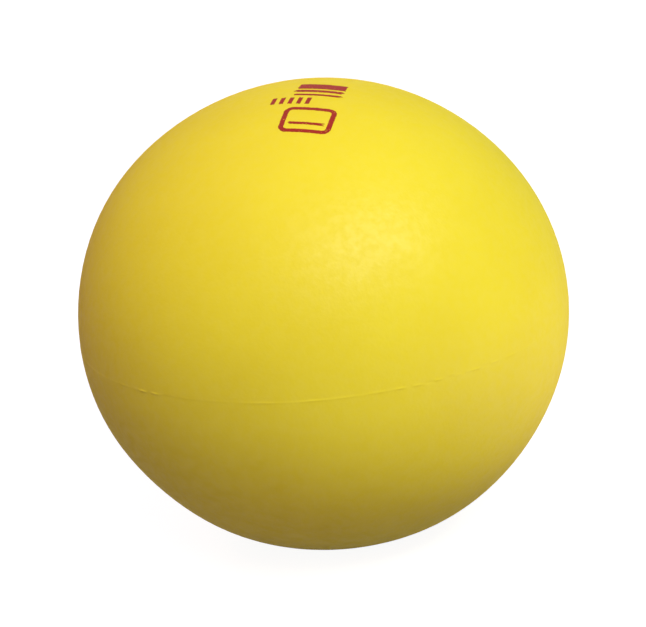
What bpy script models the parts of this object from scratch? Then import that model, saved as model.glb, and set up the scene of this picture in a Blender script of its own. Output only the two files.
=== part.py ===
"""A soft 1 kg ball for shot put practice, standing on the floor as its own weight settles it.

A thick PVC skin, rotationally moulded in one piece, holds a heavy gel. The gel goes in through a bush that is
moulded into a boss at the bottom pole, and a barbed plug closes it for good. Every piece is turned about the
upright axis of the mould. Metres, +Z up, with the origin on the floor at the middle of the contact face.
"""

import math

import bmesh
import bpy

# The ball, as it stands
BALL_DIAMETER = 0.120  # across the parting line
POLE_SAG = 0.005  # how much lower than wide the soft ball is, before the floor flattens it
CONTACT_DEPTH = 0.0023  # how far the floor presses the bottom pole in
CONTACT_SHOULDER = 0.0006  # height over which the contact face turns up into the ball

# The skin
WALL = 0.004
PARTING_LINE_WIDTH = 0.0006
PARTING_LINE_HEIGHT = 0.00015
DISH_DEPTH = 0.0008  # the filler lies this far inside the contact face
DISH_SLOPE = 0.0012  # width of the dish's sloping rim
BOSS_WALL = 0.0025  # skin around the widest part of the bush
BOSS_COVER = 0.0020  # skin over the bush's anchor ring
BOSS_ROUND = 0.0012  # rounded rim of the boss
BOSS_ROOT = 0.0020  # fillet where the boss meets the wall

# The bush that is moulded into the boss
BORE_RADIUS = 0.0035
TUBE_WALL = 0.0016
COLLAR_WALL = 0.0014  # rim around the plug's head
COLLAR_FLOOR = 0.0012  # floor that the plug's head seats on
ANCHOR_REACH = 0.0025  # how far the anchor ring stands out of the tube
ANCHOR_THICKNESS = 0.0012
GRIPPED_SKIN = 0.0008  # skin that fills the groove between the collar and the anchor ring
TUBE_REACH = 0.0015  # how far the tube stands inside the boss
TUBE_EDGE = 0.0004  # rounded rim of the tube

# The plug that closes it
HEAD_OVERHANG = 0.0018  # how much wider than the bore the head is
HEAD_THICKNESS = 0.0016
HEAD_EDGE = 0.0004
DIMPLE_RADIUS = 0.0017  # moulding mark in the middle of the head
DIMPLE_DEPTH = 0.0005
BARB_COUNT = 3
BARB_HEIGHT = 0.0004
BARB_SLOPE = 0.8  # share of the spacing that a barb's slope takes
NOSE_GRIP = 0.0006  # how much wider than the bore the nose is, which locks the plug in
NOSE_LENGTH = 0.0032
NOSE_TAPER = 0.0026  # how far the nose draws in before its rounded tip
NOSE_ROUND = 0.0008

# The filling
HEADSPACE = 0.004  # air left over the gel

# Clearance between neighbouring pieces
GAP = 0.0003

# How finely the round shapes are drawn
BALL_SIDES = 56
FILLER_SIDES = 28
OUTER_STEPS = 14  # along each half of the outer face, from pole to parting line
INNER_STEPS = 11
SHOULDER_STEPS = 3
ARC_STEPS = 3
WELD_DISTANCE = 1e-6
SHARP_EDGE = math.radians(30)

# Heights, from the floor up
CENTRE_HEIGHT = (BALL_DIAMETER - POLE_SAG) / 2 - CONTACT_DEPTH
HEAD_TOP = DISH_DEPTH + HEAD_THICKNESS
SEAT_HEIGHT = HEAD_TOP + GAP
COLLAR_TOP = SEAT_HEIGHT + COLLAR_FLOOR
ANCHOR_BOTTOM = COLLAR_TOP + GAP + GRIPPED_SKIN + GAP
ANCHOR_TOP = ANCHOR_BOTTOM + ANCHOR_THICKNESS
BOSS_TOP = max(ANCHOR_TOP + GAP + BOSS_COVER, WALL + BOSS_ROOT + BOSS_ROUND)
TUBE_TOP = BOSS_TOP + TUBE_REACH
NOSE_BOTTOM = TUBE_TOP + GAP
NOSE_TOP = NOSE_BOTTOM + NOSE_LENGTH
POLE_HEIGHT = 2 * CENTRE_HEIGHT + CONTACT_DEPTH

# Radii, from the axis out
BARB_RADIUS = BORE_RADIUS - GAP
STEM_RADIUS = BARB_RADIUS - BARB_HEIGHT
NOSE_RADIUS = BORE_RADIUS + NOSE_GRIP
TIP_RADIUS = NOSE_RADIUS - NOSE_TAPER
TUBE_RADIUS = BORE_RADIUS + TUBE_WALL
HEAD_RADIUS = BORE_RADIUS + HEAD_OVERHANG
SEAT_RADIUS = HEAD_RADIUS + GAP
COLLAR_RADIUS = max(SEAT_RADIUS, TUBE_RADIUS) + COLLAR_WALL
ANCHOR_RADIUS = TUBE_RADIUS + ANCHOR_REACH
BOSS_RADIUS = max(ANCHOR_RADIUS, COLLAR_RADIUS) + GAP + BOSS_WALL
DISH_RADIUS = COLLAR_RADIUS + GAP + DISH_SLOPE


def clear_scene():
    for thing in list(bpy.data.objects):
        bpy.data.objects.remove(thing)


def evenly(start, end, steps):
    """steps + 1 values from start to end."""
    return [start + (end - start) * step / steps for step in range(steps + 1)]


def arc(centre, radius, start_degrees, end_degrees):
    """Points on an arc of an outline, where 0 degrees points away from the axis and 90 points up."""
    angles = evenly(math.radians(start_degrees), math.radians(end_degrees), ARC_STEPS)
    return [(centre[0] + radius * math.cos(angle), centre[1] + radius * math.sin(angle)) for angle in angles]


def ball_face(inset, end_radius, steps):
    """Outline of the settled ball, inset from its outer face, in two halves from the top to end_radius below.

    The unloaded ball is a spheroid. What would reach below the floor lies flat on it, and a parabola joins
    the two within CONTACT_SHOULDER of the floor. One half ends and the other starts at the parting line.
    """
    half_width = BALL_DIAMETER / 2 - inset
    half_height = CENTRE_HEIGHT + CONTACT_DEPTH - inset

    def angle_at(height):
        return math.acos(max(-1.0, (height - CENTRE_HEIGHT) / half_height))

    def point(angle):
        height = CENTRE_HEIGHT + half_height * math.cos(angle) - inset
        if height < CONTACT_SHOULDER:
            height = max(height + CONTACT_SHOULDER, 0.0) ** 2 / (4 * CONTACT_SHOULDER)
        return half_width * math.sin(angle), height + inset

    middle = math.pi / 2
    end = math.pi - math.asin(end_radius / half_width)
    shoulder = min(angle_at(inset + CONTACT_SHOULDER), end)
    flat = min(angle_at(inset - CONTACT_SHOULDER), end)
    upper = evenly(0.0, middle, steps)
    lower = evenly(middle, shoulder, steps) + evenly(shoulder, flat, SHOULDER_STEPS) + [end]
    return [point(angle) for angle in upper], [point(angle) for angle in lower]


def parting_line():
    """The fine raised line that the two halves of the mould leave round the ball, from its top edge down."""
    foot = BALL_DIAMETER / 2
    crest = foot + PARTING_LINE_HEIGHT
    foot_half = PARTING_LINE_WIDTH / 2
    crest_half = foot_half / 3
    return [
        (foot, CENTRE_HEIGHT + foot_half),
        (crest, CENTRE_HEIGHT + crest_half),
        (crest, CENTRE_HEIGHT - crest_half),
        (foot, CENTRE_HEIGHT - foot_half),
    ]


def boss_face(root_end, gap):
    """The boss inside the ball, kept gap clear, from its flat top over its rim and down to root_end."""
    root_radius = BOSS_ROOT - gap
    rim = arc((BOSS_RADIUS - BOSS_ROUND, BOSS_TOP - BOSS_ROUND), BOSS_ROUND + gap, 90, 0)
    root = arc((root_end[0], root_end[1] + root_radius), root_radius, 180, 270)
    return rim + root


def below(outline, level):
    """What a level surface leaves of an outline that runs from the top down."""
    left = [place for place in outline if place[1] < level]
    last_above = outline[len(outline) - len(left) - 1]
    share = (level - left[0][1]) / (last_above[1] - left[0][1])
    edge = left[0][0] + (last_above[0] - left[0][0]) * share
    return [(0.0, level), (edge, level)] + left


def turned(name, outline, sides, material):
    """Turns an outline of (radius, height) about Z, from its first point to its last.

    An outline that starts and ends on the axis is closed by turning. Any other closes on itself as a ring.
    """
    ring = outline[0][0] > 0
    mesh = bpy.data.meshes.new(name)
    shape = bmesh.new()
    corners = [shape.verts.new((radius, 0, height)) for radius, height in outline]
    edges = [shape.edges.new(pair) for pair in zip(corners, corners[1:])]
    if ring:
        edges.append(shape.edges.new((corners[-1], corners[0])))
    bmesh.ops.spin(
        shape, geom=corners + edges, cent=(0, 0, 0), axis=(0, 0, 1), angle=2 * math.pi, steps=sides
    )
    bmesh.ops.remove_doubles(shape, verts=shape.verts, dist=WELD_DISTANCE)
    bmesh.ops.recalc_face_normals(shape, faces=shape.faces)
    shape.to_mesh(mesh)
    shape.free()
    mesh.shade_smooth()
    mesh.set_sharp_from_angle(angle=SHARP_EDGE)
    mesh.materials.append(material)
    piece = bpy.data.objects.new(name, mesh)
    bpy.context.collection.objects.link(piece)
    return piece


def linear(hex_colour):
    """The linear colour of an sRGB hex value."""
    channels = [int(hex_colour[start : start + 2], 16) / 255 for start in (1, 3, 5)]
    return [c / 12.92 if c <= 0.04045 else ((c + 0.055) / 1.055) ** 2.4 for c in channels]


def moulded(name, hex_colour, roughness):
    """A Principled material that isn't metallic."""
    material = bpy.data.materials.new(name)
    material.use_nodes = True
    shader = material.node_tree.nodes["Principled BSDF"]
    shader.inputs["Base Color"].default_value = (*linear(hex_colour), 1.0)
    shader.inputs["Roughness"].default_value = roughness
    shader.inputs["Metallic"].default_value = 0.0
    return material


def soft_pvc():
    return moulded("satin_yellow_pvc", "#F4E233", 0.45)


def firm_pvc():
    return moulded("firm_yellow_pvc", "#E3CC3C", 0.38)


def plug_pvc():
    return moulded("plug_yellow_pvc", "#EBD636", 0.42)


def clear_gel():
    material = moulded("clear_gel", "#E9EFE4", 0.08)
    shader = material.node_tree.nodes["Principled BSDF"]
    shader.inputs["Transmission Weight"].default_value = 0.9
    return material


def make_skin():
    """The moulded ball, with a boss at the bottom pole that grips the bush by its collar and anchor ring."""
    upper, lower = ball_face(0.0, DISH_RADIUS, OUTER_STEPS)
    outside = upper[:-1] + parting_line() + lower[1:]
    seat = [
        (COLLAR_RADIUS + GAP, DISH_DEPTH),
        (COLLAR_RADIUS + GAP, COLLAR_TOP + GAP),
        (TUBE_RADIUS + GAP, COLLAR_TOP + GAP),
        (TUBE_RADIUS + GAP, ANCHOR_BOTTOM - GAP),
        (ANCHOR_RADIUS + GAP, ANCHOR_BOTTOM - GAP),
        (ANCHOR_RADIUS + GAP, ANCHOR_TOP + GAP),
        (TUBE_RADIUS + GAP, ANCHOR_TOP + GAP),
        (TUBE_RADIUS + GAP, BOSS_TOP),
    ]
    upper, lower = ball_face(WALL, BOSS_RADIUS + BOSS_ROOT, INNER_STEPS)
    inside = upper + lower
    boss = boss_face(inside[-1], 0.0)
    return turned("skin", outside + seat + boss + inside[::-1], BALL_SIDES, soft_pvc())


def make_filler_bush():
    """A firmer tube, with a collar that seats the plug's head and an anchor ring that grips the boss."""
    outline = [
        (SEAT_RADIUS, DISH_DEPTH),
        (SEAT_RADIUS, SEAT_HEIGHT),
        (BORE_RADIUS, SEAT_HEIGHT),
        (BORE_RADIUS, TUBE_TOP - TUBE_EDGE),
        (BORE_RADIUS + TUBE_EDGE, TUBE_TOP),
        *arc((TUBE_RADIUS - TUBE_EDGE, TUBE_TOP - TUBE_EDGE), TUBE_EDGE, 90, 0),
        (TUBE_RADIUS, ANCHOR_TOP),
        (ANCHOR_RADIUS, ANCHOR_TOP),
        (ANCHOR_RADIUS, ANCHOR_BOTTOM),
        (TUBE_RADIUS, ANCHOR_BOTTOM),
        (TUBE_RADIUS, COLLAR_TOP),
        (COLLAR_RADIUS, COLLAR_TOP),
        (COLLAR_RADIUS, DISH_DEPTH),
    ]
    return turned("filler_bush", outline, FILLER_SIDES, firm_pvc())


def make_filler_plug():
    """A stopper whose barbs fill the bore and whose wider nose snaps out behind it."""
    head = [
        (0.0, DISH_DEPTH + DIMPLE_DEPTH),
        (DIMPLE_RADIUS - DIMPLE_DEPTH, DISH_DEPTH + DIMPLE_DEPTH),
        (DIMPLE_RADIUS, DISH_DEPTH),
        *arc((HEAD_RADIUS - HEAD_EDGE, DISH_DEPTH + HEAD_EDGE), HEAD_EDGE, -90, 0),
        (HEAD_RADIUS, HEAD_TOP),
        (STEM_RADIUS, HEAD_TOP),
    ]
    barbs = []
    pitch = (NOSE_BOTTOM - SEAT_HEIGHT) / (BARB_COUNT + 1)
    for barb in range(BARB_COUNT):
        foot = SEAT_HEIGHT + pitch * (barb + 0.5)
        barbs += [(STEM_RADIUS, foot), (BARB_RADIUS, foot), (STEM_RADIUS, foot + BARB_SLOPE * pitch)]
    nose = [
        (STEM_RADIUS, NOSE_BOTTOM),
        (NOSE_RADIUS, NOSE_BOTTOM),
        (NOSE_RADIUS, NOSE_BOTTOM + NOSE_ROUND),
        *arc((TIP_RADIUS, NOSE_TOP - NOSE_ROUND), NOSE_ROUND, 45, 90),
        (0.0, NOSE_TOP),
    ]
    return turned("filler_plug", head + barbs + nose, FILLER_SIDES, plug_pvc())


def make_gel_fill():
    """The gel, level on top, which closes round the boss and the ends of the bush and plug."""
    upper, lower = ball_face(WALL + GAP, BOSS_RADIUS + BOSS_ROOT, INNER_STEPS)
    outside = below(upper + lower, POLE_HEIGHT - WALL - HEADSPACE)
    boss = boss_face(outside[-1], GAP)
    filler = [
        (TUBE_RADIUS + GAP, BOSS_TOP + GAP),
        (max(TUBE_RADIUS, NOSE_RADIUS) + GAP, NOSE_BOTTOM + NOSE_ROUND),
        (TIP_RADIUS + NOSE_ROUND + GAP, NOSE_TOP + GAP),
        (0.0, NOSE_TOP + GAP),
    ]
    return turned("gel_fill", outside + boss[::-1] + filler, BALL_SIDES, clear_gel())


clear_scene()
make_skin()
make_filler_bush()
make_filler_plug()
make_gel_fill()
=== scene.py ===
"""A soft 1 kg ball for shot put practice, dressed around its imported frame.

The pieces come in this order: the moulded skin, the print on it, the bush that its boss is moulded round,
the gel that is poured in, and the plug that closes it. The studio and the camera come last. Lengths are in
metres, +Z is up, and the ball stands on the floor at the origin.
"""

import math

import bpy
import numpy as np
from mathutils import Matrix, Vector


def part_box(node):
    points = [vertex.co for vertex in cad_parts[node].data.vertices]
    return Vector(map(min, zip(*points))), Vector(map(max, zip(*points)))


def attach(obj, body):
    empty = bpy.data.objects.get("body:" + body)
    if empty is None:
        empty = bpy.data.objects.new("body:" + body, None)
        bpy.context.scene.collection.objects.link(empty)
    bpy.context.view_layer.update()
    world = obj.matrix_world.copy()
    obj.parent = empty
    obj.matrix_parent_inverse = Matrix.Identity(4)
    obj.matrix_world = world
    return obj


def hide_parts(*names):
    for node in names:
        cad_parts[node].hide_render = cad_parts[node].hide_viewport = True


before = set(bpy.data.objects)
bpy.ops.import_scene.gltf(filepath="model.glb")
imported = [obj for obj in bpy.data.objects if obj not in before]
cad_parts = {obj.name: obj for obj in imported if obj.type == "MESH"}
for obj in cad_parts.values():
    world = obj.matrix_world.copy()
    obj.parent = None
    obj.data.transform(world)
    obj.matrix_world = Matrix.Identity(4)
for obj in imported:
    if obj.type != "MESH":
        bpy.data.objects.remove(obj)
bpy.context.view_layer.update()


# The skin: one shell of soft PVC, tumbled as liquid vinyl in a hot mould of two halves, which leave a fine
# raised line where they meet. Warm from the mould it is a little uneven, and the gel's weight sags it: it is
# lower than wide and stands on a flat face, in whose middle a shallow dish holds the closed filler.

LINE_HEIGHT = 0.00015  # what the parting line adds to the frame's width
CONTACT_DEPTH = 0.0023  # how far the floor presses the bottom pole in
CONTACT_SHOULDER = 0.0006  # height over which the contact face bends up into the ball
CONTACT_BLEND = (0.0003, 0.0032)  # heights between which the unevenness comes in
WALL = 0.004
GAP = 0.0003  # between one piece and the next, as in the frame
PRINT_ROOM = 0.00005  # left at the top for the film of ink

skin_low, skin_high = (np.array(corner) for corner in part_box("skin"))
HALF_WIDTH = (skin_high[0] - skin_low[0]) / 2 - LINE_HEIGHT
HALF_HEIGHT = (skin_high[2] + CONTACT_DEPTH) / 2
CENTRE_HEIGHT = HALF_HEIGHT - CONTACT_DEPTH

# The filler bush, and the boss and dish that the skin forms round it
COLLAR_RADIUS = 0.0070
COLLAR_TOP = 0.0039
TUBE_RADIUS = 0.0051
ANCHOR_RADIUS = 0.0076
ANCHOR_BOTTOM = 0.0053
ANCHOR_TOP = 0.0065
BOSS_RADIUS = 0.0104
BOSS_TOP = 0.0088
BOSS_ROUND = 0.0012
BOSS_ROOT = 0.0020
DISH_DEPTH = 0.0008
DISH_RADIUS = 0.0085
DISH_RIM_ROUND = 0.0012
DISH_FOOT_ROUND = 0.0002
DISH_MARGIN = 0.001  # of the contact face, between its last row and the first of the dish
FLAT_INSIDE = 0.27 * HALF_WIDTH  # radius of the flat floor inside the wall

COLUMNS = 680  # round the ball
LINE_BAND = 0.0012  # finely drawn belt on each side of the parting line
LINE_HALF_WIDTH = 0.00026
ARC_STEPS = 3  # in each rounded corner of an outline
CREASE = math.radians(40)  # edges that turn by more stay crisp
SINES = 9  # in each noise round the ball

SWELLINGS = 48
SWELLING_HEIGHT = 0.00005
SWELLING_TIGHTNESS = 30  # a swelling is down to half its height 12 degrees from its middle

# Where the soft ball has taken a shape of its own: azimuth, elevation and half width in degrees, and height
LAY_MARKS = [
    (170, 34, 20, 0.00042),
    (-165, -40, 16, -0.00072),
    (-38, -58, 20, 0.00046),
    (18, 42, 24, -0.00028),
    (0, 90, 26, -0.00012),
]

# Where the parting line stands up, or is nicked: azimuth and half length in degrees, and height
LINE_CRESTS = [
    (-160.0, 11.0, -0.000014),
    (-141.6, 0.8, 0.00006),
    (-134.8, 1.1, 0.00017),
    (-133.0, 0.6, -0.00008),
    (-131.2, 1.1, 0.00015),
    (-128.0, 1.6, -0.00003),
    (-105.0, 3.0, 0.00006),
    (-93.5, 3.2, 0.00005),
    (-86.5, 2.6, 0.00005),
    (-80.5, 2.0, 0.00006),
    (-75.6, 0.9, 0.00011),
    (-73.6, 0.8, -0.00006),
    (-71.8, 1.0, 0.00010),
    (-69.0, 0.8, -0.00008),
    (-66.9, 0.7, 0.00010),
    (-64.3, 1.2, -0.00004),
    (-61.8, 1.0, 0.00003),
    (-57.6, 1.1, 0.00008),
    (-55.0, 1.0, -0.00005),
    (-52.3, 0.8, 0.00007),
    (-47.2, 1.3, 0.00006),
    (12.0, 14.0, 0.00006),
    (64.0, 22.0, 0.00008),
    (141.0, 16.0, 0.00007),
]
ROUGH_STRETCH = (-58, 12.0)  # azimuth and half length where the line is doubled and broken

LINE_BASE = 0.000015  # the line's even height, and what it varies by
LINE_VARIATION = 0.00001
ROUGH_VARIATION = 0.00003
LINE_SWAY = 0.00008  # how far the line strays up and down
ROUGH_SWAY = 0.00018
SECOND_HEIGHT = 0.00005  # the broken line beside it in the rough stretch
SECOND_OFFSET = 0.00055
STEP_HEIGHT = 0.00003  # from one half of the mould to the other
STEP_WIDTH = 0.00012
STEP_FADE = 0.004


def direction(azimuth, elevation):
    """Unit vector at an azimuth and elevation in degrees."""
    swing, rise = math.radians(azimuth), math.radians(elevation)
    return np.array([math.cos(swing) * math.cos(rise), math.sin(swing) * math.cos(rise), math.sin(rise)])


def smooth_step(values, start, end):
    """0 before start, 1 after end, and in between t * t * (3 - 2 * t), where t is the share of the way."""
    share = np.clip((values - start) / (end - start), 0, 1)
    return share * share * (3 - 2 * share)


def wander(azimuth, seed, waves):
    """Noise round the ball, mostly from -1 to 1, at azimuths in radians.

    The sum of a few sines over half their number. Each has a random phase and makes a whole number of waves
    round the ball, between the two numbers in waves.
    """
    random = np.random.default_rng(seed)
    counts = random.integers(waves[0], waves[1] + 1, SINES)
    phases = random.uniform(0, 2 * np.pi, SINES)
    return np.sin(azimuth[..., None] * counts + phases).sum(-1) / (SINES / 2)


def unevenness(outwards):
    """How far the cooled skin stands out of its mould's shape, in metres, for unit vectors outwards.

    The sum of low swellings and hollows, each its height times exp(tightness * (cosine of the angle - 1)), and
    of the lay marks, each its height times exp(-(angle / half width) squared).
    """
    random = np.random.default_rng(11)
    centres = random.normal(size=(SWELLINGS, 3))
    centres /= np.linalg.norm(centres, axis=1, keepdims=True)
    heights = random.uniform(-SWELLING_HEIGHT, SWELLING_HEIGHT, SWELLINGS)
    relief = np.exp(SWELLING_TIGHTNESS * (outwards @ centres.T - 1)) @ heights
    for azimuth, elevation, half_width, height in LAY_MARKS:
        angle = np.arccos(np.clip(outwards @ direction(azimuth, elevation), -1, 1))
        relief += height * np.exp(-((angle / math.radians(half_width)) ** 2))
    return relief


def share_away(azimuth, middle, half_length):
    """How far azimuths in radians lie from a middle, the short way round, in half lengths, both in degrees."""
    away = np.remainder(azimuth - math.radians(middle) + np.pi, 2 * np.pi) - np.pi
    return away / math.radians(half_length)


def line_relief(azimuth, offset):
    """Height of the parting line where a point lies offset above the mould's joint.

    A bell across the line, exp(-(distance / half width) squared), taller at its crests. In the rough stretch a
    second, broken bell runs beside it. A step between the two halves of the mould, the hyperbolic tangent of
    offset / step width, changes its height and side round the ball and fades out up and down the skin.
    """
    crests = LINE_BASE + LINE_VARIATION * wander(azimuth, 3, (9, 60))
    for middle, half_length, height in LINE_CRESTS:
        crests = crests + height * np.exp(-(share_away(azimuth, middle, half_length) ** 2))
    rough = np.exp(-(share_away(azimuth, *ROUGH_STRETCH) ** 4))
    crests = crests + rough * ROUGH_VARIATION * wander(azimuth, 5, (60, 150))
    sway = LINE_SWAY * wander(azimuth, 8, (2, 12)) + rough * ROUGH_SWAY * wander(azimuth, 9, (20, 60))
    bell = crests * np.exp(-(((offset - sway) / LINE_HALF_WIDTH) ** 2))
    second = np.maximum(wander(azimuth, 13, (30, 90)), 0) * rough * SECOND_HEIGHT
    second = second * np.exp(-(((offset - sway - SECOND_OFFSET) / LINE_HALF_WIDTH) ** 2))
    step = STEP_HEIGHT * wander(azimuth, 21, (1, 7)) * np.tanh(offset / STEP_WIDTH)
    return bell + second + step * np.exp(-np.abs(offset) / STEP_FADE)


def settled(polar, inset=0.0):
    """Radius and height of the settled ball's even surface, at angles from the top pole.

    Radius is half the width times the sine. Height is half the height times the cosine over the centre. What
    would lie lower than the shoulder s over the floor follows (height + s) squared / (4 * s) instead.
    """
    radius = (HALF_WIDTH - inset) * np.sin(polar)
    height = CENTRE_HEIGHT - inset + (HALF_HEIGHT - inset) * np.cos(polar)
    pressed = np.maximum(height + CONTACT_SHOULDER, 0) ** 2 / (4 * CONTACT_SHOULDER)
    return radius, np.where(height < CONTACT_SHOULDER, pressed, height) + inset


def outer_face(polar, azimuth, lift=0.0):
    """Points of the uneven outer face at polar angles and azimuths, lifted off it by lift.

    The even surface plus the unevenness and the line's relief, outwards, held inside the frame's box.
    """
    radius, height = settled(polar)
    even = np.stack([radius * np.cos(azimuth), radius * np.sin(azimuth), height], -1)
    outwards = np.stack(
        [np.sin(polar) * np.cos(azimuth), np.sin(polar) * np.sin(azimuth), np.cos(polar)], -1
    )
    relief = unevenness(outwards) + line_relief(azimuth, height - CENTRE_HEIGHT)
    off_floor = smooth_step(height, *CONTACT_BLEND)
    points = even + outwards * (relief * off_floor + lift)[..., None]
    limit = np.array([skin_high[0], skin_high[1], skin_high[2] - PRINT_ROOM + lift])
    return np.clip(points, [-limit[0], -limit[1], 0], limit)


def rounded(corners, radii):
    """An outline whose corners are arcs of their own radii. 0 leaves a corner sharp.

    Each arc touches both sides at radius / tan(half the angle between them) from the corner. Its points are
    these two, as seen from its centre, each times the sine of its share of the sweep over the whole sine.
    """
    corners = np.array(corners, float)
    outline = [corners[:1]]
    for before, corner, after, radius in zip(corners, corners[1:], corners[2:], radii):
        back = (before - corner) / np.linalg.norm(before - corner)
        on = (after - corner) / np.linalg.norm(after - corner)
        half = np.arccos(np.clip(back @ on, -1, 1)) / 2
        if radius == 0 or half > 1.56:  # sharp, or as good as straight
            outline.append(corner[None])
            continue
        centre = corner + (back + on) / np.linalg.norm(back + on) * radius / np.sin(half)
        start = corner + back * radius / np.tan(half) - centre
        end = corner + on * radius / np.tan(half) - centre
        share = np.linspace(0, 1, ARC_STEPS + 1)[:, None]
        sweep = np.pi - 2 * half
        arc = np.sin((1 - share) * sweep) * start + np.sin(share * sweep) * end
        outline.append(centre + arc / np.sin(sweep))
    return np.concatenate(outline + [corners[-1:]])


def turn(outline, columns):
    """Grid of points from an outline of (radius, height): (radius * cosine, radius * sine, height) about Z."""
    azimuth = np.linspace(0, 2 * np.pi, columns, endpoint=False)
    radius, height = outline[:, :1], outline[:, 1:]
    return np.stack([radius * np.cos(azimuth), radius * np.sin(azimuth), height + 0 * azimuth], -1)


def closed_surface(grid, ring=False):
    """Points, four-sided and three-sided faces over a grid of rows by columns, whose columns run round.

    The first and last rows each shrink to one point, a pole. With ring, the last row joins the first instead.
    """
    rows, columns = grid.shape[:2]
    if ring:
        index = np.arange(rows * columns).reshape(rows, columns)
        index = np.concatenate([index, index[:1]])
        points = grid.reshape(-1, 3)
        caps = np.empty((0, 3), int)
    else:
        index = np.arange((rows - 2) * columns).reshape(rows - 2, columns) + 1
        points = np.concatenate([grid[:1, 0], grid[1:-1].reshape(-1, 3), grid[-1:, 0]])
        first, last = index[0], index[-1]
        top = np.stack([0 * first, first, np.roll(first, -1)], -1)
        bottom = np.stack([last, 0 * last + len(points) - 1, np.roll(last, -1)], -1)
        caps = np.concatenate([top, bottom])
    across = np.roll(index, -1, axis=1)
    quads = np.stack([index[:-1], index[1:], across[1:], across[:-1]], -1).reshape(-1, 4)
    return points, quads, caps


def make_piece(name, surfaces, material):
    """A smooth-shaded object of one or more closed surfaces."""
    points, faces, start = [], [], 0
    for surface_points, quads, caps in surfaces:
        points.append(surface_points)
        faces += (quads + start).tolist() + (caps + start).tolist()
        start += len(surface_points)
    mesh = bpy.data.meshes.new(name)
    mesh.from_pydata(np.concatenate(points), [], faces)
    mesh.validate()
    mesh.shade_smooth()
    mesh.set_sharp_from_angle(angle=CREASE)
    mesh.materials.append(material)
    piece = bpy.data.objects.new(name, mesh)
    bpy.context.scene.collection.objects.link(piece)
    return piece


def skin_grid():
    """Rows from the top pole down the outer face, through the dish and the filler's seat, and up the inside."""
    band = math.asin(LINE_BAND / HALF_HEIGHT)
    shoulder = math.acos((CONTACT_SHOULDER - CENTRE_HEIGHT) / HALF_HEIGHT)
    flat = math.acos((-CONTACT_SHOULDER - CENTRE_HEIGHT) / HALF_HEIGHT)
    polar = np.concatenate([
        np.linspace(0, np.pi / 2 - band, 30, endpoint=False),  # above the parting line
        np.linspace(np.pi / 2 - band, np.pi / 2 + band, 21, endpoint=False),  # the line itself
        np.linspace(np.pi / 2 + band, shoulder, 28, endpoint=False),  # below it
        np.linspace(shoulder, flat, 7),  # the bend into the contact face
    ])
    azimuth = np.linspace(0, 2 * np.pi, COLUMNS, endpoint=False)
    outside = outer_face(*np.meshgrid(polar, azimuth, indexing="ij"))
    foot_radius = HALF_WIDTH * math.sin(flat)
    inner_shoulder = math.acos((CONTACT_SHOULDER + WALL - CENTRE_HEIGHT) / (HALF_HEIGHT - WALL))
    inner_polar = np.concatenate([
        np.linspace(0, np.pi / 2, 9, endpoint=False),
        np.linspace(np.pi / 2, inner_shoulder, 9),
    ])
    inner = np.stack(settled(inner_polar, WALL), -1)[::-1]
    filler_seat = rounded(
        [
            (foot_radius - DISH_MARGIN, 0),
            (DISH_RADIUS, 0),
            (COLLAR_RADIUS + GAP, DISH_DEPTH),
            (COLLAR_RADIUS + GAP, COLLAR_TOP + GAP),
            (TUBE_RADIUS + GAP, COLLAR_TOP + GAP),
            (TUBE_RADIUS + GAP, ANCHOR_BOTTOM - GAP),
            (ANCHOR_RADIUS + GAP, ANCHOR_BOTTOM - GAP),
            (ANCHOR_RADIUS + GAP, ANCHOR_TOP + GAP),
            (TUBE_RADIUS + GAP, ANCHOR_TOP + GAP),
            (TUBE_RADIUS + GAP, BOSS_TOP),
            (BOSS_RADIUS, BOSS_TOP),
            (BOSS_RADIUS, WALL),
            (FLAT_INSIDE, WALL),
        ],
        [DISH_RIM_ROUND, DISH_FOOT_ROUND, 0, 0, 0, 0, 0, 0, 0, BOSS_ROUND, BOSS_ROOT],
    )
    return np.concatenate([outside, turn(filler_seat, COLUMNS), turn(inner, COLUMNS)])


def linear(hex_colour):
    """The linear colour, with alpha 1, of an sRGB hex value.

    A channel c from 0 to 1 gives c / 12.92 up to 0.04045, and ((c + 0.055) / 1.055) to the power 2.4 above.
    """
    channels = [int(hex_colour[start : start + 2], 16) / 255 for start in (1, 3, 5)]
    return [c / 12.92 if c <= 0.04045 else ((c + 0.055) / 1.055) ** 2.4 for c in channels] + [1.0]


def add(tree, kind, sockets=None, **settings):
    """Adds a node. settings are its properties; sockets gives each input a value or the output it is fed by."""
    made = tree.nodes.new(kind)
    for name, value in settings.items():
        setattr(made, name, value)
    for socket, value in (sockets or {}).items():
        if isinstance(value, bpy.types.NodeSocket):
            tree.links.new(value, made.inputs[socket])
        else:
            made.inputs[socket].default_value = value
    return made


def start_material(name, **finish):
    """A material with its Principled shader set to the given sockets, and the point on the piece in metres."""
    material = bpy.data.materials.new(name)
    material.use_nodes = True
    tree = material.node_tree
    shader = tree.nodes["Principled BSDF"]
    for socket, value in finish.items():
        shader.inputs[socket.replace("_", " ")].default_value = value
    place = add(tree, "ShaderNodeTexCoord").outputs["Object"]
    return material, tree, shader, place


PEBBLE = 0.0007  # grain of the blasted mould, a little coarser than the real one so that it shows
PEBBLE_DEPTH = 0.00006
RIPPLE = 0.0032  # low ripples from the powdered release agent
RIPPLE_DEPTH = 0.00006
FILM_DEPTH = 0.00008  # the same ripples, deeper in the film that has gathered on them
FILM_PATCH = 0.0018  # where more or less plasticiser has come up
PIGMENT_CLOUD = 0.030


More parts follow.
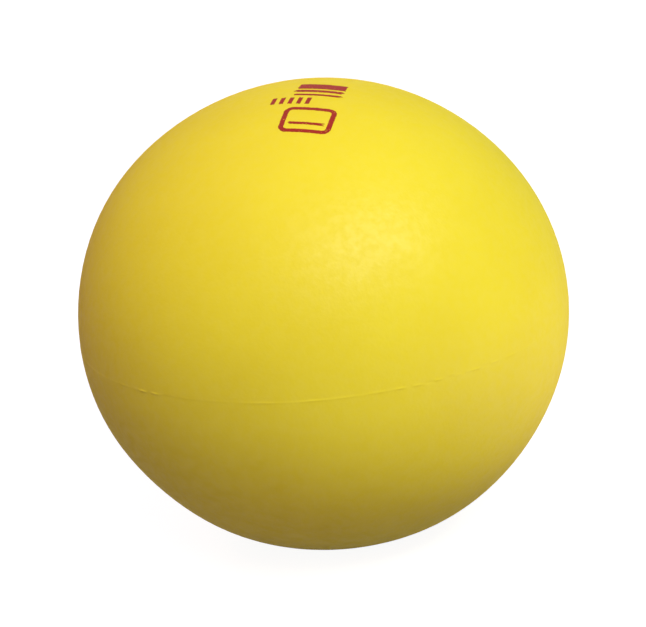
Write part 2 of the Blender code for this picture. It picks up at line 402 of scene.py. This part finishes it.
def satin_soft_pvc():
    """Rotomoulded soft PVC, plasticised and pigmented through: satin, with the fine grain of a blasted mould.

    Its gloss is a thin film of plasticiser that has come to the surface, so the shader's coat carries it, and
    no gloss lies under it: on so fine a grain the film shines weakly at a grazing angle. The film is thicker in
    some patches than in others, which the coat's weight follows, and with its ripples that breaks the highlight
    into a milky mottle and hardly shows in the shade. Slow clouds of pigment keep the broad areas alive.
    """
    material, tree, shader, place = start_material(
        "satin_soft_pvc",
        Specular_IOR_Level=0.0, Roughness=0.5, Coat_IOR=2.2, Coat_Roughness=0.42,
    )
    pebble = add(
        tree, "ShaderNodeTexNoise", {"Vector": place, "Scale": 1 / PEBBLE, "Detail": 1.0, "Roughness": 0.5}
    )
    ripple = add(
        tree, "ShaderNodeTexNoise", {"Vector": place, "Scale": 1 / RIPPLE, "Detail": 2.0, "Roughness": 0.6}
    )
    cloud = add(tree, "ShaderNodeTexNoise", {"Vector": place, "Scale": 1 / PIGMENT_CLOUD, "Detail": 3.0})

    hue = add(tree, "ShaderNodeValToRGB", {"Fac": cloud.outputs["Fac"]})
    hue.color_ramp.elements[0].position = 0.30
    hue.color_ramp.elements[0].color = linear("#EEE036")
    hue.color_ramp.elements[1].position = 0.70
    hue.color_ramp.elements[1].color = linear("#F2E63A")
    tree.links.new(hue.outputs["Color"], shader.inputs["Base Color"])

    grain = add(
        tree, "ShaderNodeBump", {"Height": pebble.outputs["Fac"], "Strength": 0.5, "Distance": PEBBLE_DEPTH}
    )
    for socket, strength, depth in (("Normal", 0.3, RIPPLE_DEPTH), ("Coat Normal", 0.7, FILM_DEPTH)):
        relief = add(
            tree, "ShaderNodeBump", {"Height": ripple.outputs["Fac"], "Strength": strength, "Distance": depth}
        )
        tree.links.new(grain.outputs[0], relief.inputs["Normal"])
        tree.links.new(relief.outputs[0], shader.inputs[socket])

    patches = add(
        tree, "ShaderNodeTexNoise",
        {"Vector": place, "Scale": 1 / FILM_PATCH, "Detail": 3.0, "Roughness": 0.65},
    )
    film = add(
        tree, "ShaderNodeMapRange",
        {"Value": patches.outputs["Fac"], "From Min": 0.36, "From Max": 0.64, "To Min": 0.11, "To Max": 0.24},
    )
    tree.links.new(film.outputs[0], shader.inputs["Coat Weight"])
    return material


skin = make_piece("moulded_skin", [closed_surface(skin_grid())], satin_soft_pvc())
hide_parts("skin")
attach(skin, "root")


# The print: red pad-printing ink near the top pole, a film a few hundredths of a millimetre thick with a
# slightly ragged edge and pinholes. Three bars, a row of ticks and an empty field to write in: plain marks.

INK_THICKNESS = 0.00004
INK_EDGE = 0.00006  # how far the ragged edge wanders
RIM_POINTS = 180
FILLED_ROWS = 7  # from the middle of a filled mark to its rim
RING_ROWS = 4  # across the stroke of an open one
MARK_TURN = math.radians(-16)  # the print stands askew

# Middle x and y, width, height and corner, from the pole
BARS = [
    (0.0064, -0.0026, 0.0114, 0.0038, 0.0003),
    (0.0064, -0.0062, 0.0114, 0.0014, 0.0003),
    (0.0066, -0.0087, 0.0110, 0.0009, 0.0003),
]
FIRST_TICK = -0.0032
TICK_PITCH = 0.0021
TICK_COUNT = 5
TICKS = [(FIRST_TICK + TICK_PITCH * tick, -0.0123, 0.0010, 0.0034, 0.0002) for tick in range(TICK_COUNT)]
FIELD = (0.0070, -0.0210, 0.0126, 0.0104, 0.0022)
FIELD_STROKE = 0.0012
FIELD_LINE = (0.0070, -0.0227, 0.0082, 0.0009, 0.0002)
SMALLEST_CORNER = 0.0003  # inside a stroke
CIRCLE_POINTS = 64  # in the circle that rounds a box's four corners


def rounded_box(width, height, corner, count):
    """Outline of a box with round corners, as count points an even distance apart.

    A circle of the corner's radius is moved outwards by what is left of the half width and half height, by the
    sign of its cosine and sine, so that each quarter of it rounds one corner. Points are then shared out evenly
    along the length of that outline.
    """
    angles = np.linspace(0, 2 * np.pi, CIRCLE_POINTS, endpoint=False) + np.pi / CIRCLE_POINTS
    across = np.cos(angles) * corner + np.sign(np.cos(angles)) * (width / 2 - corner)
    up = np.sin(angles) * corner + np.sign(np.sin(angles)) * (height / 2 - corner)
    across, up = np.append(across, across[0]), np.append(up, up[0])
    walked = np.append(0, np.cumsum(np.hypot(np.diff(across), np.diff(up))))
    stops = np.linspace(0, walked[-1], count, endpoint=False)
    return np.stack([np.interp(stops, walked, across), np.interp(stops, walked, up)], -1)


def on_skin(flat, lift):
    """Lays points of the flat print on the ball's top, lifted off it, keeping their distance from the pole.

    A point turns about the pole with the print, and its polar angle is its distance over half the ball's width.
    """
    turned = flat @ np.array([
        [math.cos(MARK_TURN), math.sin(MARK_TURN)],
        [-math.sin(MARK_TURN), math.cos(MARK_TURN)],
    ])
    along = np.hypot(turned[..., 0], turned[..., 1])
    return outer_face(along / HALF_WIDTH, np.arctan2(turned[..., 1], turned[..., 0]), lift)


def ink_patch(middle_x, middle_y, width, height, corner, seed, stroke=None):
    """A thin closed slab of ink, its lower face sunk in the skin: filled, or a stroke whose width is stroke.

    Rows run in even shares from the middle, or from the stroke's inner side, to the rim of a rounded box whose
    size is made ragged by wandering, over the top face and back under it.
    """
    angles = np.linspace(0, 2 * np.pi, RIM_POINTS, endpoint=False)
    ragged = 1 + INK_EDGE / min(width, height) * 2 * wander(angles, seed, (5, 45))[:, None]
    rim = rounded_box(width, height, corner, RIM_POINTS) * ragged
    if stroke:
        inner_corner = max(corner - stroke, SMALLEST_CORNER)
        inside = rounded_box(width - 2 * stroke, height - 2 * stroke, inner_corner, RIM_POINTS) * ragged
        shares = np.linspace(0, 1, RING_ROWS)
    else:
        inside = rim * 0
        shares = np.linspace(0, 1, FILLED_ROWS)
    flat = inside + shares[:, None, None] * (rim - inside) + np.array([middle_x, middle_y])
    both_faces = np.concatenate([on_skin(flat, INK_THICKNESS), on_skin(flat[::-1], -INK_THICKNESS)])
    return closed_surface(both_faces, ring=bool(stroke))


PINHOLE = 0.0003846  # a little wider apart than real ones, so that some show
INK_CLOUD = 0.001923  # where the pad laid more ink or less
SHARE, FROM, TO, MIXED = 0, 6, 7, 2  # inputs and output of a node that mixes colours


def pad_printing_ink():
    """Solvent ink on vinyl: an even satin red that bites into the skin, with pinholes where it missed."""
    material, tree, shader, place = start_material(
        "red_pad_printing_ink",
        Specular_IOR_Level=0.0, Roughness=0.5, Coat_Weight=0.25, Coat_IOR=1.8, Coat_Roughness=0.35,
    )
    holes = add(tree, "ShaderNodeTexNoise", {"Vector": place, "Scale": 1 / PINHOLE, "Detail": 2.0})
    missed = add(
        tree, "ShaderNodeMapRange",
        {"Value": holes.outputs["Fac"], "From Min": 0.66, "From Max": 0.72, "To Min": 0.0, "To Max": 0.8},
    )
    density = add(tree, "ShaderNodeTexNoise", {"Vector": place, "Scale": 1 / INK_CLOUD, "Detail": 2.0})
    red = add(
        tree, "ShaderNodeMix",
        {SHARE: density.outputs["Fac"], FROM: linear("#961E15"), TO: linear("#AA281D")},
        data_type="RGBA",
    )
    colour = add(
        tree, "ShaderNodeMix",
        {SHARE: missed.outputs[0], FROM: red.outputs[MIXED], TO: linear("#EBCF2F")},
        data_type="RGBA",
    )
    tree.links.new(colour.outputs[MIXED], shader.inputs["Base Color"])
    return material


print_patches = [ink_patch(*bar, seed=31 + i) for i, bar in enumerate(BARS)]
print_patches += [ink_patch(*tick, seed=41 + i) for i, tick in enumerate(TICKS)]
print_patches += [ink_patch(*FIELD, seed=51, stroke=FIELD_STROKE), ink_patch(*FIELD_LINE, seed=52)]
printed_marks = make_piece("printed_marks", print_patches, pad_printing_ink())
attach(printed_marks, "root")


# The filler bush: a firmer PVC tube, injection moulded, which sits on a pin in the mould so that the skin
# closes round its collar and anchor ring. Only its collar shows, as a ring in the dish.

BORE_RADIUS = 0.0035
SEAT_RADIUS = 0.0056
SEAT_HEIGHT = 0.0027
TUBE_TOP = 0.0103
SMALL_EDGE = 0.00015  # rounding of a crisp moulded edge
SEAT_ROUND = 0.0004
WALL_START = SEAT_HEIGHT - 0.0008  # where the outline starts on the seat's wall
WALL_END = SEAT_HEIGHT - 0.0010  # where it ends, just short of its start
FILLER_COLUMNS = 160

MELT_CLOUD = 0.0025
MELT_GRAIN = 0.0006667  # grain of the spark-eroded tool, drawn about five times too coarse so that it shows
MELT_GRAIN_DEPTH = 0.00004


def firm_pvc():
    """Injection moulded PVC with less plasticiser: smoother and a little deeper in colour than the skin."""
    material, tree, shader, place = start_material("firm_moulded_pvc", IOR=1.54, Specular_IOR_Level=0.5)
    cloud = add(tree, "ShaderNodeTexNoise", {"Vector": place, "Scale": 1 / MELT_CLOUD, "Detail": 2.0})
    colour = add(
        tree, "ShaderNodeMix",
        {SHARE: cloud.outputs["Fac"], FROM: linear("#DEC437"), TO: linear("#E8D03D")},
        data_type="RGBA",
    )
    tree.links.new(colour.outputs[MIXED], shader.inputs["Base Color"])
    matte = add(
        tree, "ShaderNodeMapRange",
        {"Value": cloud.outputs["Fac"], "From Min": 0.3, "From Max": 0.7, "To Min": 0.30, "To Max": 0.42},
    )
    tree.links.new(matte.outputs[0], shader.inputs["Roughness"])
    tool = add(tree, "ShaderNodeTexNoise", {"Vector": place, "Scale": 1 / MELT_GRAIN, "Detail": 1.0})
    grain = add(
        tree, "ShaderNodeBump", {"Height": tool.outputs["Fac"], "Strength": 0.2, "Distance": MELT_GRAIN_DEPTH}
    )
    tree.links.new(grain.outputs[0], shader.inputs["Normal"])
    return material


bush_outline = rounded(
    [
        (SEAT_RADIUS, WALL_START),
        (SEAT_RADIUS, SEAT_HEIGHT),
        (BORE_RADIUS, SEAT_HEIGHT),
        (BORE_RADIUS, TUBE_TOP),
        (TUBE_RADIUS, TUBE_TOP),
        (TUBE_RADIUS, ANCHOR_TOP),
        (ANCHOR_RADIUS, ANCHOR_TOP),
        (ANCHOR_RADIUS, ANCHOR_BOTTOM),
        (TUBE_RADIUS, ANCHOR_BOTTOM),
        (TUBE_RADIUS, COLLAR_TOP),
        (COLLAR_RADIUS, COLLAR_TOP),
        (COLLAR_RADIUS, DISH_DEPTH),
        (SEAT_RADIUS, DISH_DEPTH),
        (SEAT_RADIUS, WALL_END),
    ],
    [SMALL_EDGE, SMALL_EDGE, SEAT_ROUND, SEAT_ROUND] + [SMALL_EDGE] * 8,
)
bush = make_piece(
    "filler_bush_insert", [closed_surface(turn(bush_outline, FILLER_COLUMNS), ring=True)], firm_pvc()
)
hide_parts("filler_bush")
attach(bush, "root")


# The gel: thickened brine, poured in through the bush and level on top. It fills the skin but for a little air
# and closes round the boss and the nose of the plug, whose sizes it takes.

HEADSPACE = 0.004
NOSE_BOTTOM = 0.0106
NOSE_TOP = 0.0138
NOSE_ROUND = 0.0008
TIP_RADIUS = 0.0015
GEL_ROUNDS = (0.0003, 0.0008, 0.0006)  # round the bush's top, and the root and the tip of the plug's nose
GEL_ROWS = 70
GEL_COLUMNS = 240

BUBBLE = 0.003846  # the real bubbles are a tenth of that, too fine to show
GEL_CLOUD = 0.02222


def brine_gel():
    """Clear, faintly straw-coloured gel with a slight haze from fine bubbles."""
    material, tree, shader, place = start_material(
        "thickened_brine_gel", IOR=1.37, Transmission_Weight=0.85, Specular_IOR_Level=0.5
    )
    bubbles = add(tree, "ShaderNodeTexVoronoi", {"Vector": place, "Scale": 1 / BUBBLE})
    haze = add(
        tree, "ShaderNodeMapRange",
        {
            "Value": bubbles.outputs["Distance"],
            "From Min": 0.05, "From Max": 0.2, "To Min": 0.35, "To Max": 0.08,
        },
    )
    tree.links.new(haze.outputs[0], shader.inputs["Roughness"])
    cloud = add(tree, "ShaderNodeTexNoise", {"Vector": place, "Scale": 1 / GEL_CLOUD, "Detail": 3.0})
    colour = add(
        tree, "ShaderNodeMix",
        {SHARE: cloud.outputs["Fac"], FROM: linear("#E4E6CC"), TO: linear("#EEF2E2")},
        data_type="RGBA",
    )
    tree.links.new(colour.outputs[MIXED], shader.inputs["Base Color"])
    return material


gel_level = skin_high[2] - WALL - HEADSPACE
gel_inset = WALL + GAP
gel_start = math.acos((gel_level - CENTRE_HEIGHT) / (HALF_HEIGHT - gel_inset))
gel_shoulder = math.acos((CONTACT_SHOULDER + gel_inset - CENTRE_HEIGHT) / (HALF_HEIGHT - gel_inset))
gel_side = np.stack(settled(np.linspace(gel_start, gel_shoulder, GEL_ROWS), gel_inset), -1)
gel_foot = rounded(
    [
        (FLAT_INSIDE, gel_inset),
        (BOSS_RADIUS + GAP, gel_inset),
        (BOSS_RADIUS + GAP, BOSS_TOP + GAP),
        (TUBE_RADIUS + GAP, BOSS_TOP + GAP),
        (TUBE_RADIUS + GAP, NOSE_BOTTOM + NOSE_ROUND),
        (TIP_RADIUS + NOSE_ROUND + GAP, NOSE_TOP + GAP),
        (0.0, NOSE_TOP + GAP),
    ],
    [BOSS_ROOT - GAP, BOSS_ROUND + GAP, *GEL_ROUNDS],
)
gel_outline = np.concatenate([[(0.0, gel_level)], gel_side, gel_foot])
gel = make_piece("brine_gel", [closed_surface(turn(gel_outline, GEL_COLUMNS))], brine_gel())
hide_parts("gel_fill")
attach(gel, "root")


# The plug: a soft PVC stopper, pressed in after filling. Its barbs grip the bore, its nose snaps out behind
# it, and its head lies in the collar, just inside the contact face.

HEAD_RADIUS = 0.0053
HEAD_TOP = 0.0024
DIMPLE_RADIUS = 0.0017
DIMPLE_DEPTH = 0.0005
STEM_RADIUS = 0.0028
BARB_RADIUS = 0.0032
BARB_COUNT = 3
BARB_SHARE = 0.8  # of the pitch, over which a barb tapers
BARB_EDGE = 0.00008
NOSE_RADIUS = 0.0041
DIMPLE_ROUND = 0.0003
HEAD_ROUND = 0.0004
NOSE_LIP_ROUND = 0.0003

FLOW_MARK = 0.001745  # from one ring to the next
FLOW_MARK_DEPTH = 0.00003
WAVES_PER_UNIT = 20 / (2 * math.pi)  # that the wave texture draws at a scale of 1


def plug_pvc():
    """The skin's PVC again, injection moulded: glossier, with faint flow marks."""
    material, tree, shader, place = start_material("soft_plug_pvc", IOR=1.53, Specular_IOR_Level=0.5)
    flow = add(
        tree, "ShaderNodeTexWave",
        {"Vector": place, "Scale": 1 / FLOW_MARK / WAVES_PER_UNIT, "Distortion": 6.0, "Detail": 2.0},
        wave_type="RINGS", rings_direction="Z",
    )
    colour = add(
        tree, "ShaderNodeMix",
        {SHARE: flow.outputs["Fac"], FROM: linear("#E9D233"), TO: linear("#EDD838")},
        data_type="RGBA",
    )
    tree.links.new(colour.outputs[MIXED], shader.inputs["Base Color"])
    matte = add(
        tree, "ShaderNodeMapRange", {"Value": flow.outputs["Fac"], "To Min": 0.34, "To Max": 0.42},
    )
    tree.links.new(matte.outputs[0], shader.inputs["Roughness"])
    marks = add(
        tree, "ShaderNodeBump", {"Height": flow.outputs["Fac"], "Strength": 0.1, "Distance": FLOW_MARK_DEPTH}
    )
    tree.links.new(marks.outputs[0], shader.inputs["Normal"])
    return material


barb_pitch = (NOSE_BOTTOM - SEAT_HEIGHT) / (BARB_COUNT + 1)
barb_feet = SEAT_HEIGHT + barb_pitch * (np.arange(BARB_COUNT) + 0.5)
barbs = [
    corner
    for foot in barb_feet
    for corner in ((STEM_RADIUS, foot), (BARB_RADIUS, foot), (STEM_RADIUS, foot + BARB_SHARE * barb_pitch))
]
plug_outline = rounded(
    [
        (0.0, DISH_DEPTH + DIMPLE_DEPTH),
        (DIMPLE_RADIUS - DIMPLE_DEPTH, DISH_DEPTH + DIMPLE_DEPTH),
        (DIMPLE_RADIUS, DISH_DEPTH),
        (HEAD_RADIUS, DISH_DEPTH),
        (HEAD_RADIUS, HEAD_TOP),
        (STEM_RADIUS, HEAD_TOP),
        *barbs,
        (STEM_RADIUS, NOSE_BOTTOM),
        (NOSE_RADIUS, NOSE_BOTTOM),
        (NOSE_RADIUS, NOSE_BOTTOM + NOSE_ROUND),
        (TIP_RADIUS + NOSE_ROUND, NOSE_TOP),
        (0.0, NOSE_TOP),
    ],
    [DIMPLE_ROUND, DIMPLE_ROUND, HEAD_ROUND, SMALL_EDGE, SMALL_EDGE]
    + [BARB_EDGE] * (3 * BARB_COUNT)
    + [SMALL_EDGE, SMALL_EDGE, NOSE_LIP_ROUND, NOSE_ROUND],
)
plug = make_piece("filler_stopper", [closed_surface(turn(plug_outline[::-1], FILLER_COLUMNS))], plug_pvc())
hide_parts("filler_plug")
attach(plug, "root")


# The studio: a white board to stand on and a white room. A wide soft lamp stands high on the right, a broad
# one in front, one on the left and a low one behind. Their tints differ a little, because the shade is warmer
# and greyer than the light.

FLOOR_HALF = 3.0
FLOOR_GLOW = 0.93  # 1 is white, and the lamps add the rest


def seen_directly(tree):
    """1 for rays from the camera and for those off gloss or through glass, 0 for the light that spreads."""
    path = add(tree, "ShaderNodeLightPath")
    seen = path.outputs["Is Camera Ray"]
    for ray in ("Is Glossy Ray", "Is Transmission Ray"):
        seen = add(tree, "ShaderNodeMath", {0: seen, 1: path.outputs[ray]}, operation="MAXIMUM").outputs[0]
    return seen


def white_floor():
    """Matte white board. The camera and reflections see it white, and it throws little light back up."""
    material = bpy.data.materials.new("white_floor_board")
    material.use_nodes = True
    tree = material.node_tree
    tree.nodes.clear()
    board = add(tree, "ShaderNodeBsdfDiffuse", {"Color": linear("#8C8C8C")})
    glow = add(tree, "ShaderNodeEmission", {"Color": linear("#FFFFFF"), "Strength": FLOOR_GLOW})
    bright = add(tree, "ShaderNodeAddShader", {0: board.outputs[0], 1: glow.outputs[0]})
    dim = add(tree, "ShaderNodeBsdfDiffuse", {"Color": linear("#978BA6")})
    mixed = add(
        tree, "ShaderNodeMixShader", {0: seen_directly(tree), 1: dim.outputs[0], 2: bright.outputs[0]}
    )
    add(tree, "ShaderNodeOutputMaterial", {"Surface": mixed.outputs[0]})
    return material


floor_mesh = bpy.data.meshes.new("floor")
floor_mesh.from_pydata(
    [
        (-FLOOR_HALF, -FLOOR_HALF, 0),
        (FLOOR_HALF, -FLOOR_HALF, 0),
        (FLOOR_HALF, FLOOR_HALF, 0),
        (-FLOOR_HALF, FLOOR_HALF, 0),
    ],
    [],
    [(0, 1, 2, 3)],
)
floor_mesh.materials.append(white_floor())
floor = bpy.data.objects.new("floor", floor_mesh)
bpy.context.scene.collection.objects.link(floor)

world = bpy.data.worlds.new("room")
bpy.context.scene.world = world
world.use_nodes = True
room = world.node_tree
room.nodes.clear()
even_light = add(room, "ShaderNodeBackground", {"Color": linear("#FFD0FF"), "Strength": 0.062})
white_room = add(room, "ShaderNodeBackground", {"Color": linear("#FFFFFF"), "Strength": 1.0})
mixed_room = add(
    room, "ShaderNodeMixShader", {0: seen_directly(room), 1: even_light.outputs[0], 2: white_room.outputs[0]}
)
add(room, "ShaderNodeOutputWorld", {"Surface": mixed_room.outputs[0]})

# Each lamp: azimuth and elevation in degrees, distance, width and height in metres, watts and colour
LAMPS = {
    "key_lamp": (-56, 48, 1.6, 1.5, 0.5, 17.6, "#F6FFE6"),
    "front_lamp": (-90, 47, 1.6, 1.4, 1.4, 9.6, "#FFDED8"),
    "left_lamp": (160, 56, 1.6, 1.2, 1.2, 5.4, "#FFB5E0"),
    "back_lamp": (90, 8, 1.6, 0.6, 0.6, 8.5, "#FFF4EA"),
}
ball_centre = np.array([0, 0, CENTRE_HEIGHT])
for lamp_name, (azimuth, elevation, distance, width, height, power, colour) in LAMPS.items():
    lamp = bpy.data.lights.new(lamp_name, "AREA")
    lamp.shape = "ELLIPSE"
    lamp.size = width
    lamp.size_y = height
    lamp.energy = power
    lamp.color = linear(colour)[:3]
    holder = bpy.data.objects.new(lamp_name, lamp)
    bpy.context.scene.collection.objects.link(holder)
    outwards = direction(azimuth, elevation)
    holder.location = ball_centre + distance * outwards
    holder.rotation_euler = (math.pi / 2 - math.radians(elevation), 0, math.radians(azimuth) + math.pi / 2)
    holder.visible_glossy = lamp_name == "key_lamp"  # the ball has one highlight

# The board on the right throws light back up, as it does where a window shines on it
BOUNCE_WIDTH = 0.42
BOUNCE_PLACE = (0.28, -0.04, 0.003)

bounce = bpy.data.lights.new("bounce_lamp", "AREA")
bounce.shape = "DISK"
bounce.size = BOUNCE_WIDTH
bounce.energy = 0.51
bounce.color = linear("#FFE6FF")[:3]
bounce_holder = bpy.data.objects.new("bounce_lamp", bounce)
bpy.context.scene.collection.objects.link(bounce_holder)
bounce_holder.location = BOUNCE_PLACE
bounce_holder.rotation_euler = (math.pi, 0, 0)
bounce_holder.visible_camera = False
bounce_holder.visible_glossy = False


# The camera: half a metre from the ball, 18 degrees above its middle and turned by 6, so that the parting line
# rises to the right.

CAMERA_DISTANCE = 8 * HALF_WIDTH
CAMERA_ELEVATION = 18.31
CAMERA_ROLL = 5.97
CAMERA_AIM = (-0.00015, -0.00020)  # where the picture's middle lies, right of and above the ball's
LENS = 108.63
SENSOR = 36.0

camera_data = bpy.data.cameras.new("camera")
camera_data.lens = LENS
camera_data.sensor_width = SENSOR
camera = bpy.data.objects.new("camera", camera_data)
bpy.context.scene.collection.objects.link(camera)
camera.rotation_mode = "XYZ"
camera_back = direction(-90, CAMERA_ELEVATION)
camera_up = direction(90, 90 - CAMERA_ELEVATION)
camera_right = direction(0, 0)
camera.location = (
    ball_centre + CAMERA_DISTANCE * camera_back + CAMERA_AIM[0] * camera_right + CAMERA_AIM[1] * camera_up
)
camera.rotation_euler = (math.radians(90 - CAMERA_ELEVATION), 0, 0)
camera.rotation_euler.rotate_axis("Z", math.radians(-CAMERA_ROLL))
bpy.context.scene.camera = camera

bpy.context.scene.view_settings.view_transform = "Standard"
